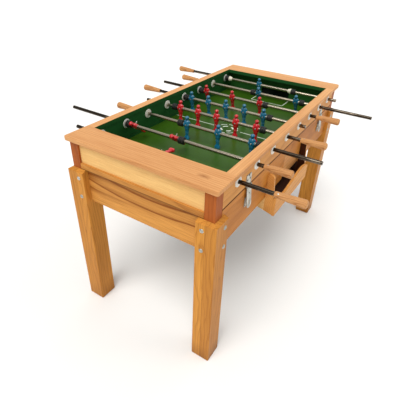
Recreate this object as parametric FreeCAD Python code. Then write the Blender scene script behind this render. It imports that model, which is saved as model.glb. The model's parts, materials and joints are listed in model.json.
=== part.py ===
import FreeCAD, Part

import math
import os

# Foosball table, in millimetres.
# Frame: X along the table (near end at -X), Y across it (front, with the ball tray, at -Y), Z up.
# The origin is on the floor under the middle of the table.

V = FreeCAD.Vector
X_AXIS, Y_AXIS, Z_AXIS = V(1, 0, 0), V(0, 1, 0), V(0, 0, 1)

# ---------------------------------------------------------------- driving dimensions
# Rim boards and the pitch opening between them.
RIM_TOP = 880.0
RIM_THICK = 19.0
RIM_HALF_X, RIM_HALF_Y = 698.0, 352.0
RIM_OPEN_X, RIM_OPEN_Y = 574.0, 311.0
RIM_CORNER, RIM_EDGE = 9.0, 3.0
RIM_LOW = RIM_TOP - RIM_THICK

# Legs, whose tops slope outward from the box.
LEG_SIZE = 85.0
LEG_OUT_X, LEG_OUT_Y = 702.0, 356.0
LEG_TOP = 742.0
LEG_SLOPE = 10.0

# The box, which splits into a base and a top box along two levels.
BOX_OUT_X, BOX_OUT_Y = 684.0, 338.0
BOARD_THICK = 24.0
BOARD_IN_Y = BOX_OUT_Y - BOARD_THICK
SPLIT_END, SPLIT_SIDE = 742.0, 769.5
GAP = 0.5
POST_X, POST_Y = 48.0, 44.0
END_RAIL_TOP = 769.0
PANEL_OUT_X, PANEL_THICK = 676.0, 12.0
APRON_OUT_X, APRON_THICK, APRON_BOTTOM = 673.0, 22.0, 590.0
APRON_IN_X = APRON_OUT_X - APRON_THICK
SIDE_BOTTOM = 601.0

# Bolts that hold each leg: two along X through the apron, two along Y through the side board.
BOLT_RADIUS, BOLT_HEAD_RADIUS, BOLT_HEAD_HIGH = 3.0, 9.0, 4.5
NUT_RADIUS, NUT_HIGH, BOLT_SPARE = 5.8, 7.0, 2.5
BOLT_X, BOLT_Y = 641.0, 298.0
END_BOLT_Z, SIDE_BOLT_Z = (705.0, 616.0), (706.0, 620.0)

# Playfield and goal walls.
FIELD_TOP, FIELD_THICK, FIELD_HALF_X, FIELD_GROOVE = 755.0, 10.0, 612.0, 5.0
GOAL_WALL_THICK, GOAL_HALF_WIDTH, GOAL_TOP, GOAL_CORNER = 10.0, 90.0, 813.0, 14.0

# Access panel in the front side board, as (x, z) corners.
PANEL_LEFT, PANEL_RIGHT, PANEL_LEFT_TOP, PANEL_RIGHT_TOP = -47.0, 172.0, 737.0, 640.0
PANEL_DEEP, PANEL_SUNK, PANEL_LIP, PANEL_SEAM = 12.0, 2.0, 14.0, 0.8

# Ball runway: two end channels that slope to the middle, and a cross channel that slopes to the tray.
RUN_HALF_WIDTH, RUN_SIDE, RUN_WALL_HIGH = 60.0, 9.0, 30.0
RUN_START_X, RUN_START_Z, RUN_END_Z = 648.0, 706.0, 650.0
CROSS_HALF_WIDTH, CROSS_START_Z = 60.0, 636.0

# Ball tray on the front side.
TRAY_X = (-235.0, 189.0)
TRAY_WALL, TRAY_BOARD, TRAY_FLOOR_THICK = 14.0, 12.0, 9.0
TRAY_FACE_Y, TRAY_BACK_Y = -378.0, -300.0
TRAY_LOW, TRAY_BACK_LOW, TRAY_TOP = 517.0, 541.0, 718.0

# Rods, their bushings and what is on them.
ROD_Z, ROD_PITCH, ROD_RADIUS, ROD_COUNT = 834.5, 153.0, 8.0, 8
RUN_GAP = 0.08
FIX_GAP = 0.05
BUSH_FACE_IN, BUSH_FACE_OUT, BUSH_EDGE = 311.0, 342.0, 1.2
BUSH_FLANGE_RADIUS, BUSH_BODY_RADIUS = 21.5, 14.0
HANDLE_LENGTH, HANDLE_BORE, HANDLE_END_ROUND = 114.0, 96.0, 9.0
HANDLE_SIDE = [(2.0, 10.6), (38.0, 12.6), (74.0, 14.6), (105.0, 16.0)]
BUMPER_LENGTH, BUMPER_RADIUS, BUMPER_RIBS, BUMPER_GROOVE = 26.0, 16.0, 3, 3.5
MAN_TO_BUMPER = 21.5
CONE_FROM, CONE_LENGTH, CONE_SMALL, CONE_BIG = 185.0, 20.0, 10.0, 15.0

# Rod kinds: men along the rod, inner end of the handle and the bare end, all measured from the rod's middle.
KINDS = {
    "goalie": {"men": [0.0], "grip_at": 472.0, "bare_at": 466.0},
    "two": {"men": [-111.0, 111.0], "grip_at": 522.0, "bare_at": 506.0},
    "three": {"men": [-164.5, 0.0, 164.5], "grip_at": 472.0, "bare_at": 466.0},
    "five": {"men": [-210.0, -105.0, 0.0, 105.0, 210.0], "grip_at": 422.0, "bare_at": 424.0},
}
# Rods from the near end: kind, side of the handle (-1 front, +1 back), slide offset, lean of the men in
# degrees from upright, feet towards +X.
RODS = [
    ("goalie", -1, -4.0, 85.0),
    ("two", -1, 152.0, 53.0),
    ("three", 1, -79.0, 0.0),
    ("five", -1, 19.0, 0.0),
    ("five", 1, 53.0, 8.0),
    ("three", -1, 98.5, 14.0),
    ("two", 1, -100.0, 18.0),
    ("goalie", 1, 79.0, 10.0),
]

# Sections of a standing man from ankle to shoulder: height above the rod, half depth (X), half width (Y).
MAN_SECTIONS = [(-58, 6.5, 8.0), (-46, 7.0, 8.5), (-32, 8.5, 10.0), (-20, 9.5, 11.5), (-8, 11.5, 13.0),
                (3, 12.5, 15.5), (12, 11.0, 16.5), (19, 8.0, 13.5)]
HEAD_RADIUS, HEAD_Z = 9.5, 31.0
NECK_RADIUS, NECK_FROM, NECK_LENGTH = 5.5, 16.0, 10.0
FOOT_LOW, FOOT_TOP, FOOT_HALF_X, FOOT_HALF_Y, FOOT_EDGE = -71.0, -54.0, 8.5, 12.5, 2.5

# Hasps: a fixed leaf on the rail, a hinged strap that hangs a little off the board, and a staple.
HASP_X, HASP_Z, HASP_LEAN = 444.0, 772.0, 5.2
PLATE, STAPLE_PLATE = 2.0, 1.4
LEAF_HALF, LEAF_HIGH, LEAF_CORNER = 21.0, 49.0, 4.0
STRAP_HALF, STRAP_LENGTH, STRAP_THICK, STRAP_SET = 19.0, 97.0, 1.8, 0.6
SLOT_HALF, SLOT_PAST = 3.2, 3.0
KNUCKLE_RADIUS, KNUCKLE_LENGTH, KNUCKLE_PLAY, PIN_RADIUS = 3.2, 14.0, 0.4, 1.5
PIN_Y = -BOX_OUT_Y - PLATE - 2.0
STAPLE_TOP, STAPLE_LOW, STAPLE_WIRE, STAPLE_OUT, STAPLE_HALF = 707.5, 690.5, 1.6, 9.2, 15.0

# Rear hinges, on which the top box tilts.
HINGE_X, HINGE_Y = 306.0, 342.0
REAR_HALF, REAR_RADIUS, REAR_PIN, REAR_LEAF = 32.0, 4.0, 2.0, 32.0

# Clearances that a tool needs beside a cut or a moving knuckle.
PAST = 1.0
REACH = 9.0
KNUCKLE_GAP = 0.3

os.makedirs("parts", exist_ok=True)


# ---------------------------------------------------------------- helpers
def save(name, *solids):
    shape = solids[0] if len(solids) == 1 else Part.makeCompound(list(solids))
    for solid in shape.Solids:
        assert solid.isValid() and solid.Volume > 0, name
    shape.exportStep("parts/" + name + ".step")


def block(x0, x1, y0, y1, z0, z1):
    """A box between two values on each axis, given in either order."""
    low = V(min(x0, x1), min(y0, y1), min(z0, z1))
    return Part.makeBox(abs(x1 - x0), abs(y1 - y0), abs(z1 - z0), low)


def rod(start, end, radius):
    """A round bar from one point to another."""
    return Part.makeCylinder(radius, (end - start).Length, start, end - start)


def bar_x(x, half, y, z, radius):
    """A round bar along X, as long on each side of x as half says."""
    return rod(V(x - half, y, z), V(x + half, y, z), radius)


def prism_x(points, x0, x1):
    """An outline of (y, z) points, carried along X."""
    wire = Part.makePolygon([V(x0, y, z) for y, z in points + points[:1]])
    return Part.Face(wire).extrude(V(x1 - x0, 0, 0))


def prism_y(points, y0, y1):
    """An outline of (x, z) points, carried along Y."""
    wire = Part.makePolygon([V(x, y0, z) for x, z in points + points[:1]])
    return Part.Face(wire).extrude(V(0, y1 - y0, 0))


def turned(points):
    """An outline of (y, radius) points, turned about the Y axis."""
    wire = Part.makePolygon([V(0, y, r) for y, r in points + points[:1]])
    return Part.Face(wire).revolve(V(0, 0, 0), Y_AXIS, 360)


def moved(shape, x=0.0, y=0.0, z=0.0):
    copy = shape.copy()
    copy.translate(V(x, y, z))
    return copy


def mirrored(shape, normal):
    return shape.mirror(V(0, 0, 0), normal)


def soften(solid, radius, wanted):
    """Rounds the straight edges for which wanted(edge) is true."""
    return solid.makeFillet(radius, [edge for edge in solid.Edges if wanted(edge)])


def along(edge, axis):
    a, b = edge.Vertexes[0].Point, edge.Vertexes[-1].Point
    return abs((b - a).normalize().dot(axis)) > 0.999


def corners(shape):
    """The same shape at the four corners of the table."""
    back = mirrored(shape, Y_AXIS)
    return [shape, mirrored(shape, X_AXIS), back, mirrored(back, X_AXIS)]


# ---------------------------------------------------------------- base: legs and aprons
def leg():
    """The far back leg: notched inside for the boards, with a top that slopes out from the posts."""
    in_x, in_y = LEG_OUT_X - LEG_SIZE, LEG_OUT_Y - LEG_SIZE
    body = block(in_x, LEG_OUT_X, in_y, LEG_OUT_Y, 0, LEG_TOP)
    body = soften(body, 3.0, lambda e: along(e, Z_AXIS))
    foot = [e for e in body.Edges if e.BoundBox.ZMax < 1.0]
    body = body.makeChamfer(2.5, foot)
    slope_x = prism_y(
        [(BOX_OUT_X, LEG_TOP), (LEG_OUT_X + 1, LEG_TOP - LEG_SLOPE), (LEG_OUT_X + 1, LEG_TOP + 1),
         (BOX_OUT_X, LEG_TOP + 1)], in_y - 1, LEG_OUT_Y + 1)
    slope_y = prism_x(
        [(BOX_OUT_Y, LEG_TOP), (LEG_OUT_Y + 1, LEG_TOP - LEG_SLOPE), (LEG_OUT_Y + 1, LEG_TOP + 1),
         (BOX_OUT_Y, LEG_TOP + 1)], in_x - 1, LEG_OUT_X + 1)
    apron_seat = block(0, APRON_OUT_X, 0, BOX_OUT_Y - BOARD_THICK, APRON_BOTTOM, LEG_TOP + 1)
    side_seat = block(0, APRON_OUT_X, 0, BOX_OUT_Y, SIDE_BOTTOM, LEG_TOP + 1)
    body = body.cut(slope_x).cut(slope_y).cut(apron_seat).cut(side_seat)
    for hole in bolt_shanks(BOLT_RADIUS):
        body = body.cut(hole)
    return body


def bolt_shanks(radius):
    """The four bolt shanks of the far back corner: two along X and two along Y."""
    reach = NUT_HIGH + BOLT_SPARE
    ends = [rod(V(APRON_IN_X - reach, BOLT_Y, z), V(LEG_OUT_X, BOLT_Y, z), radius) for z in END_BOLT_Z]
    sides = [rod(V(BOLT_X, BOARD_IN_Y - reach, z), V(BOLT_X, LEG_OUT_Y, z), radius) for z in SIDE_BOLT_Z]
    return ends + sides


def dome(centre, direction):
    """A carriage bolt's head, a cap of a ball that stands on the wood."""
    high, wide = BOLT_HEAD_HIGH, BOLT_HEAD_RADIUS
    ball_radius = (wide ** 2 + high ** 2) / (2 * high)
    ball = Part.makeSphere(ball_radius, centre - direction * (ball_radius - high))
    return ball.common(rod(centre, centre + direction * (high + 1), wide + 1))


def hexagon(centre, direction, side_axis):
    """A nut against the inside of a board."""
    other = direction.cross(side_axis)
    ring = []
    for k in range(7):
        turn = math.radians(60 * k)
        spoke = side_axis * math.cos(turn) + other * math.sin(turn)
        ring.append(centre + spoke * NUT_RADIUS)
    return Part.Face(Part.makePolygon(ring)).extrude(direction * NUT_HIGH)


def corner_bolts():
    solids = []
    shanks = bolt_shanks(BOLT_RADIUS - FIX_GAP)
    for k, z in enumerate(END_BOLT_Z):
        head = dome(V(LEG_OUT_X, BOLT_Y, z), X_AXIS)
        solids.append(shanks[k].fuse(head).fuse(hexagon(V(APRON_IN_X, BOLT_Y, z), -X_AXIS, Z_AXIS)))
    for k, z in enumerate(SIDE_BOLT_Z):
        head = dome(V(BOLT_X, LEG_OUT_Y, z), Y_AXIS)
        solids.append(shanks[2 + k].fuse(head).fuse(hexagon(V(BOLT_X, BOARD_IN_Y, z), -Y_AXIS, Z_AXIS)))
    return solids


back_far_leg = leg()
four_legs = corners(back_far_leg)
save("legs_back", four_legs[0], four_legs[1])
save("legs_front", four_legs[2], four_legs[3])
save("leg_bolts", *[copy for bolt in corner_bolts() for copy in corners(bolt)])


def drilled(shape):
    for hole in bolt_shanks(BOLT_RADIUS):
        for copy in corners(hole):
            shape = shape.cut(copy)
    return shape


apron = block(APRON_IN_X, APRON_OUT_X, -BOARD_IN_Y, BOARD_IN_Y, APRON_BOTTOM, SPLIT_END - GAP)
apron = drilled(soften(apron, 2.0, lambda e: along(e, Y_AXIS) and e.BoundBox.ZMax < APRON_BOTTOM + 1))
save("end_aprons", apron, mirrored(apron, X_AXIS))


# ---------------------------------------------------------------- base: side boards, field, access panel
panel_outline = [(PANEL_LEFT, SIDE_BOTTOM - PAST), (PANEL_LEFT, PANEL_LEFT_TOP),
                 (PANEL_RIGHT, PANEL_RIGHT_TOP), (PANEL_RIGHT, SIDE_BOTTOM - PAST)]


def side_board():
    """The back board: notched at its ends for the posts, grooved inside for the field."""
    post_edge = BOX_OUT_X - POST_X - GAP
    outline = [(-APRON_OUT_X, SIDE_BOTTOM), (APRON_OUT_X, SIDE_BOTTOM), (APRON_OUT_X, SPLIT_END - GAP),
               (post_edge, SPLIT_END - GAP), (post_edge, SPLIT_SIDE - GAP), (-post_edge, SPLIT_SIDE - GAP),
               (-post_edge, SPLIT_END - GAP), (-APRON_OUT_X, SPLIT_END - GAP)]
    board = prism_y(outline, BOARD_IN_Y, BOX_OUT_Y)
    groove = block(-FIELD_HALF_X, FIELD_HALF_X, 0, BOARD_IN_Y + FIELD_GROOVE,
                   FIELD_TOP - FIELD_THICK, FIELD_TOP)
    board = board.cut(groove)
    board = soften(board, 2.5, lambda e: along(e, X_AXIS) and e.BoundBox.YMin > BOX_OUT_Y - 1
                   and e.BoundBox.ZMin > SPLIT_SIDE - 1)
    return drilled(board)


back_board = side_board()
front_board = mirrored(back_board, Y_AXIS)
pocket = prism_y(panel_outline, -BOX_OUT_Y - 1, -BOX_OUT_Y + PANEL_DEEP)
window = prism_y([(PANEL_LEFT + PANEL_LIP, SIDE_BOTTOM + PANEL_LIP),
                  (PANEL_LEFT + PANEL_LIP, PANEL_LEFT_TOP - 2 * PANEL_LIP),
                  (PANEL_RIGHT - PANEL_LIP, PANEL_RIGHT_TOP - PANEL_LIP),
                  (PANEL_RIGHT - PANEL_LIP, SIDE_BOTTOM + PANEL_LIP)], -BOX_OUT_Y, -BOARD_IN_Y)
save("side_board_back", back_board)
save("side_board_front", front_board.cut(pocket).cut(window))

panel_low, panel_left, panel_right = SIDE_BOTTOM + 5, PANEL_LEFT + PANEL_SEAM, PANEL_RIGHT - PANEL_SEAM
panel_points = [(panel_left, panel_low), (panel_left, PANEL_LEFT_TOP - 2 * PANEL_SEAM),
                (panel_right, PANEL_RIGHT_TOP - PANEL_SEAM), (panel_right, panel_low)]
save("chute_access_panel", prism_y(panel_points, -BOX_OUT_Y + PANEL_SUNK, -BOX_OUT_Y + PANEL_DEEP))

half_y = BOARD_IN_Y + FIELD_GROOVE
save("playfield", block(-FIELD_HALF_X, FIELD_HALF_X, -half_y, half_y, FIELD_TOP - FIELD_THICK, FIELD_TOP))


# ---------------------------------------------------------------- base: ball runway and tray
def end_run():
    """The far sloping channel that brings balls from the goal to the middle."""
    x0, x1 = CROSS_HALF_WIDTH + RUN_SIDE, RUN_START_X
    high, wide = RUN_WALL_HIGH, RUN_HALF_WIDTH + RUN_SIDE
    outer = prism_y([(x0, RUN_END_Z - RUN_SIDE), (x1, RUN_START_Z - RUN_SIDE), (x1, RUN_START_Z + high),
                     (x0, RUN_END_Z + high)], -wide, wide)
    inner = prism_y([(x0 - PAST, RUN_END_Z), (x1 + PAST, RUN_START_Z), (x1 + PAST, RUN_START_Z + 2 * high),
                     (x0 - PAST, RUN_END_Z + 2 * high)], -RUN_HALF_WIDTH, RUN_HALF_WIDTH)
    return outer.cut(inner)


def cross_run():
    """The middle channel, which takes the balls from both end channels forward to the tray."""
    y0, y1 = RUN_HALF_WIDTH + RUN_SIDE, TRAY_BACK_Y
    low = TRAY_BACK_LOW + TRAY_FLOOR_THICK
    high = RUN_WALL_HIGH
    wide = CROSS_HALF_WIDTH + RUN_SIDE
    outer = prism_x([(y0, CROSS_START_Z - RUN_SIDE), (y1, low - RUN_SIDE), (y1, low + high),
                     (y0, CROSS_START_Z + high)], -wide, wide)
    inner = prism_x([(y0 - RUN_SIDE, CROSS_START_Z), (y1 - 1, low), (y1 - 1, low + 3 * high),
                     (y0 - RUN_SIDE, CROSS_START_Z + 3 * high)], -CROSS_HALF_WIDTH, CROSS_HALF_WIDTH)
    mouth = block(-wide - 1, wide + 1, -RUN_HALF_WIDTH, RUN_HALF_WIDTH, RUN_END_Z - RUN_SIDE - 2, RUN_START_Z)
    return outer.cut(inner).cut(mouth)


far_run = end_run()
save("ball_runway", far_run, mirrored(far_run, X_AXIS), cross_run())


TRAY_FRONT_LOW = TRAY_LOW + 3.0
TRAY_JOIN_Y = -BOX_OUT_Y - FIX_GAP
TRAY_JOIN_LOW = TRAY_FRONT_LOW + ((TRAY_BACK_LOW - TRAY_FRONT_LOW) * (TRAY_JOIN_Y - TRAY_FACE_Y)
                                  / (TRAY_BACK_Y - TRAY_FACE_Y))


def tray_wall(x0):
    """A wooden end wall of the ball tray, which stands out from the side board."""
    out = TRAY_FACE_Y
    outline = [(TRAY_JOIN_Y, TRAY_TOP), (out + 25, TRAY_TOP), (out + 15, TRAY_TOP - 4),
               (out + 10.5, TRAY_TOP - 13), (out + 9, TRAY_TOP - 38), (out + 6, TRAY_TOP - 78),
               (out, TRAY_TOP - 128), (out, TRAY_FRONT_LOW), (TRAY_JOIN_Y, TRAY_JOIN_LOW)]
    return prism_x(outline, x0, x0 + TRAY_WALL)


def tray_cheek(x0):
    """The plywood cheek that carries an end wall's line back under the side board."""
    face = TRAY_JOIN_Y + FIX_GAP
    outline = [(face, TRAY_JOIN_LOW), (TRAY_BACK_Y, TRAY_BACK_LOW), (TRAY_BACK_Y, SIDE_BOTTOM - GAP),
               (face, SIDE_BOTTOM - GAP)]
    return prism_x(outline, x0, x0 + TRAY_WALL)


tray_ends = (TRAY_X[0], TRAY_X[1] - TRAY_WALL)
save("tray_end_walls", *[tray_wall(x0) for x0 in tray_ends])

floor_points = [(TRAY_FACE_Y, TRAY_FRONT_LOW), (TRAY_BACK_Y, TRAY_BACK_LOW),
                (TRAY_BACK_Y, TRAY_BACK_LOW + TRAY_FLOOR_THICK),
                (TRAY_FACE_Y, TRAY_FRONT_LOW + TRAY_FLOOR_THICK)]
tray_floor = prism_x(floor_points, TRAY_X[0] + TRAY_WALL, TRAY_X[1] - TRAY_WALL)
save("tray_floor_and_cheeks", tray_floor, *[tray_cheek(x0) for x0 in tray_ends])


def tray_front():
    """The tray's front board, whose top edge dips where a hand reaches in."""
    y = TRAY_FACE_Y
    top = [V(TRAY_X[0], y, 610), V(-85, y, 591), V(90, y, 615), V(TRAY_X[1], y, 590)]
    curve = Part.BSplineCurve()
    curve.interpolate(top)
    left_low, right_low = V(TRAY_X[0], y, TRAY_LOW), V(TRAY_X[1], y, TRAY_LOW)
    edges = [curve.toShape(), Part.makeLine(top[-1], right_low), Part.makeLine(right_low, left_low),
             Part.makeLine(left_low, top[0])]
    return Part.Face(Part.Wire(edges)).extrude(V(0, -TRAY_BOARD, 0))


save("tray_front", tray_front())


# ---------------------------------------------------------------- top box: rim, posts, panels, rails
def end_rim():
    """The wide flat board over the far end; its two outer corners are round."""
    board = block(RIM_OPEN_X, RIM_HALF_X, -RIM_HALF_Y, RIM_HALF_Y, RIM_LOW, RIM_TOP)
    board = soften(board, RIM_CORNER, lambda e: along(e, Z_AXIS) and e.BoundBox.XMin > RIM_HALF_X - 1)
    outer = [e for e in board.Edges if e.BoundBox.ZLength < 0.01 and
             (e.BoundBox.XMax > RIM_HALF_X - RIM_CORNER + 0.5)]
    return board.makeFillet(RIM_EDGE, outer)


def side_rim():
    """The narrow flat board over the back rail, butted between the end boards."""
    board = block(-RIM_OPEN_X, RIM_OPEN_X, RIM_OPEN_Y, RIM_HALF_Y, RIM_LOW, RIM_TOP)
    return soften(board, RIM_EDGE, lambda e: along(e, X_AXIS) and e.BoundBox.YMin > RIM_HALF_Y - 1)


far_rim, back_rim = end_rim(), side_rim()
save("rim_boards", far_rim, mirrored(far_rim, X_AXIS), back_rim, mirrored(back_rim, Y_AXIS))

post = block(BOX_OUT_X - POST_X, BOX_OUT_X, BOX_OUT_Y - POST_Y, BOX_OUT_Y, SPLIT_END + GAP, RIM_LOW)
post = soften(post, 2.0, lambda e: along(e, Z_AXIS))
save("corner_posts", *corners(post))

post_in_y = BOX_OUT_Y - POST_Y
panel = block(PANEL_OUT_X - PANEL_THICK, PANEL_OUT_X, -post_in_y, post_in_y, END_RAIL_TOP, RIM_LOW)
save("end_panels", panel, mirrored(panel, X_AXIS))
end_rail = block(PANEL_OUT_X - PANEL_THICK, BOX_OUT_X, -post_in_y, post_in_y, SPLIT_END + GAP, END_RAIL_TOP)
end_rail = soften(end_rail, 2.5, lambda e: along(e, Y_AXIS) and e.BoundBox.XMin > BOX_OUT_X - 1)
save("end_rails", end_rail, mirrored(end_rail, X_AXIS))


def rod_x(number):
    """The place along the table of a rod, numbered from 1 at the near end."""
    return (number - (ROD_COUNT + 1) / 2) * ROD_PITCH


def rod_rail():
    """The back rail, bored for the bushings of the eight rods."""
    half = BOX_OUT_X - POST_X
    rail = block(-half, half, BOARD_IN_Y, BOX_OUT_Y, SPLIT_SIDE + GAP, RIM_LOW)
    rail = soften(rail, 2.5, lambda e: along(e, X_AXIS) and e.BoundBox.YMin > BOX_OUT_Y - 1
                  and e.BoundBox.ZMax < SPLIT_SIDE + 2)
    for number in range(1, ROD_COUNT + 1):
        x = rod_x(number)
        rail = rail.cut(rod(V(x, BOARD_IN_Y - 1, ROD_Z), V(x, BOX_OUT_Y + 1, ROD_Z), BUSH_BODY_RADIUS))
    return rail


back_rail = rod_rail()
save("rod_rail_back", back_rail)
save("rod_rail_front", mirrored(back_rail, Y_AXIS))


def bushing():
    """A plastic bushing on the Y axis: a sleeve in the rail with a flange on each face of it."""
    bore, body = ROD_RADIUS + RUN_GAP, BUSH_BODY_RADIUS - FIX_GAP
    flange, edge = BUSH_FLANGE_RADIUS, BUSH_EDGE
    return turned([(BUSH_FACE_IN, bore), (BUSH_FACE_IN, flange - edge), (BUSH_FACE_IN + edge, flange),
                   (BOARD_IN_Y, flange), (BOARD_IN_Y, body), (BOX_OUT_Y, body), (BOX_OUT_Y, flange),
                   (BUSH_FACE_OUT - edge, flange), (BUSH_FACE_OUT, flange - edge), (BUSH_FACE_OUT, bore)])


back_bushing = bushing()
front_bushing = mirrored(back_bushing, Y_AXIS)
save("rod_bushings", *[moved(one, x=rod_x(n), z=ROD_Z) for n in range(1, ROD_COUNT + 1)
                       for one in (back_bushing, front_bushing)])


def goal_wall():
    """The far end wall of the pitch, with the goal's mouth."""
    x0, x1 = FIELD_HALF_X, FIELD_HALF_X + GOAL_WALL_THICK
    wall = block(x0, x1, -BOARD_IN_Y, BOARD_IN_Y, FIELD_TOP + GAP, RIM_LOW)
    mouth = block(x0 - PAST, x1 + PAST, -GOAL_HALF_WIDTH, GOAL_HALF_WIDTH, FIELD_TOP - PAST, GOAL_TOP)
    mouth = soften(mouth, GOAL_CORNER, lambda e: along(e, X_AXIS) and e.BoundBox.ZMin > GOAL_TOP - 1)
    return wall.cut(mouth)


far_goal = goal_wall()
save("goal_walls", far_goal, mirrored(far_goal, X_AXIS))


# ---------------------------------------------------------------- hasps and rear hinges
def hasp_leaf(x):
    """The hasp's fixed leaf on the rail, with the two outer knuckles and the pin."""
    face = -BOX_OUT_Y
    leaf = block(x - LEAF_HALF, x + LEAF_HALF, face - PLATE, face, HASP_Z, HASP_Z + LEAF_HIGH)
    leaf = soften(leaf, LEAF_CORNER, lambda e: along(e, Y_AXIS) and e.BoundBox.ZMin > HASP_Z + PAST)
    web = block(x - LEAF_HALF, x + LEAF_HALF, PIN_Y, face, HASP_Z, HASP_Z + KNUCKLE_RADIUS)
    half = KNUCKLE_LENGTH / 2 + KNUCKLE_PLAY
    middle = block(x - half, x + half, PIN_Y - REACH, face, HASP_Z - REACH, HASP_Z + KNUCKLE_RADIUS + PAST)
    tube = bar_x(x, LEAF_HALF, PIN_Y, HASP_Z, KNUCKLE_RADIUS)
    pin = bar_x(x, LEAF_HALF, PIN_Y, HASP_Z, PIN_RADIUS)
    return leaf.fuse(web).fuse(tube).cut(middle).fuse(pin).removeSplitter()


def hasp_strap(x):
    """The swinging strap, with a slot for the staple; it rests off the board by the lean."""
    low, inner = HASP_Z - STRAP_LENGTH, PIN_Y - STRAP_SET
    strap = block(x - STRAP_HALF, x + STRAP_HALF, inner, inner - STRAP_THICK, low, HASP_Z)
    strap = soften(strap, STRAP_HALF - PAST, lambda e: along(e, Y_AXIS) and e.BoundBox.ZMax < low + PAST)
    for side in (-1, 1):
        strap = strap.cut(block(x + side * KNUCKLE_LENGTH / 2, x + side * (STRAP_HALF + PAST), PIN_Y - REACH,
                                PIN_Y + REACH, HASP_Z - KNUCKLE_RADIUS - STRAP_SET, HASP_Z + REACH))
    slot = block(x - SLOT_HALF, x + SLOT_HALF, PIN_Y - REACH, PIN_Y + REACH,
                 STAPLE_LOW - SLOT_PAST, STAPLE_TOP + SLOT_PAST)
    slot = soften(slot, SLOT_HALF - 0.2, lambda e: along(e, Y_AXIS))
    knuckle = bar_x(x, KNUCKLE_LENGTH / 2, PIN_Y, HASP_Z, KNUCKLE_RADIUS)
    bore = bar_x(x, KNUCKLE_LENGTH, PIN_Y, HASP_Z, PIN_RADIUS + RUN_GAP)
    strap = strap.cut(slot).fuse(knuckle).cut(bore).removeSplitter()
    strap.rotate(V(x, PIN_Y, HASP_Z), -X_AXIS, HASP_LEAN)
    return strap


def staple(x):
    """The staple under the strap: a plate on the side board with a wire loop on its middle line."""
    face = -BOX_OUT_Y
    plate = block(x - STAPLE_HALF, x + STAPLE_HALF, face - STAPLE_PLATE, face,
                  STAPLE_LOW - STAPLE_HALF + PAST, STAPLE_TOP + STAPLE_HALF - PAST)
    plate = soften(plate, 5.0, lambda e: along(e, Y_AXIS))
    out, top, low = face - STAPLE_OUT + STAPLE_WIRE, STAPLE_TOP - STAPLE_WIRE, STAPLE_LOW + STAPLE_WIRE
    whole = plate.fuse(rod(V(x, out, low), V(x, out, top), STAPLE_WIRE))
    for z in (low, top):
        whole = whole.fuse(rod(V(x, face, z), V(x, out, z), STAPLE_WIRE))
        whole = whole.fuse(Part.makeSphere(STAPLE_WIRE, V(x, out, z)))
    return whole


save("hasp_leaves", hasp_leaf(-HASP_X), hasp_leaf(HASP_X))
save("hasp_strap_near", hasp_strap(-HASP_X))
save("hasp_strap_far", hasp_strap(HASP_X))
save("hasp_staples", staple(-HASP_X), staple(HASP_X))


def rear_leaf(x, upward):
    """One leaf of a rear butt hinge: outer knuckles and pin on the lower leaf, middle one on the upper."""
    rise = 1 if upward else -1
    third, grow = REAR_HALF / 3, REAR_RADIUS + 0.5
    low, high = SPLIT_SIDE - grow, SPLIT_SIDE + grow
    leaf = block(x - REAR_HALF, x + REAR_HALF, BOX_OUT_Y, BOX_OUT_Y + PLATE,
                 SPLIT_SIDE, SPLIT_SIDE + rise * REAR_LEAF)
    web = block(x - REAR_HALF, x + REAR_HALF, BOX_OUT_Y, HINGE_Y, SPLIT_SIDE, SPLIT_SIDE + rise * REAR_RADIUS)
    whole = leaf.fuse(web).fuse(bar_x(x, REAR_HALF, HINGE_Y, SPLIT_SIDE, REAR_RADIUS))
    if upward:
        for side in (-1, 1):
            whole = whole.cut(block(x + side * (third - KNUCKLE_GAP), x + side * (REAR_HALF + PAST),
                                    BOX_OUT_Y - PAST, HINGE_Y + grow, low, high))
        whole = whole.cut(block(x - third, x + third, BOX_OUT_Y - PAST, BOX_OUT_Y, low, high))
        return whole.cut(bar_x(x, REAR_HALF + PAST, HINGE_Y, SPLIT_SIDE, REAR_PIN + RUN_GAP))
    opening = third + KNUCKLE_GAP
    whole = whole.cut(block(x - opening, x + opening, BOX_OUT_Y - PAST, HINGE_Y + grow, low, high))
    whole = whole.cut(block(x - REAR_HALF - PAST, x + REAR_HALF + PAST, BOX_OUT_Y - grow, BOX_OUT_Y, 0, high))
    return whole.fuse(bar_x(x, REAR_HALF + PAST, HINGE_Y, SPLIT_SIDE, REAR_PIN)).removeSplitter()


save("rear_hinge_lower_leaves", rear_leaf(-HINGE_X, False), rear_leaf(HINGE_X, False))
save("rear_hinge_upper_leaves", rear_leaf(-HINGE_X, True), rear_leaf(HINGE_X, True))


# ---------------------------------------------------------------- rods
def oval(z, half_x, half_y):
    big, small = max(half_x, half_y), min(half_x, half_y)
    long_axis = X_AXIS if half_x > half_y else Y_AXIS
    centre = V(0, 0, z)
    curve = Part.Ellipse(centre + long_axis * big, centre + Z_AXIS.cross(long_axis) * small, centre)
    return Part.Wire(curve.toShape())


def man():
    """A one-piece plastic player on the rod: a foot block, a tapering body and a round head."""
    body = Part.makeLoft([oval(*section) for section in MAN_SECTIONS], True, False)
    neck = Part.makeCylinder(NECK_RADIUS, NECK_LENGTH, V(0, 0, NECK_FROM))
    head = Part.makeSphere(HEAD_RADIUS, V(0, 0, HEAD_Z))
    foot = block(-FOOT_HALF_X, FOOT_HALF_X, -FOOT_HALF_Y, FOOT_HALF_Y, FOOT_LOW, FOOT_TOP)
    foot = soften(foot, FOOT_EDGE, lambda e: True)
    whole = body.fuse(neck).fuse(head).fuse(foot)
    return whole.cut(rod(V(0, -40, 0), V(0, 40, 0), ROD_RADIUS + FIX_GAP))


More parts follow.
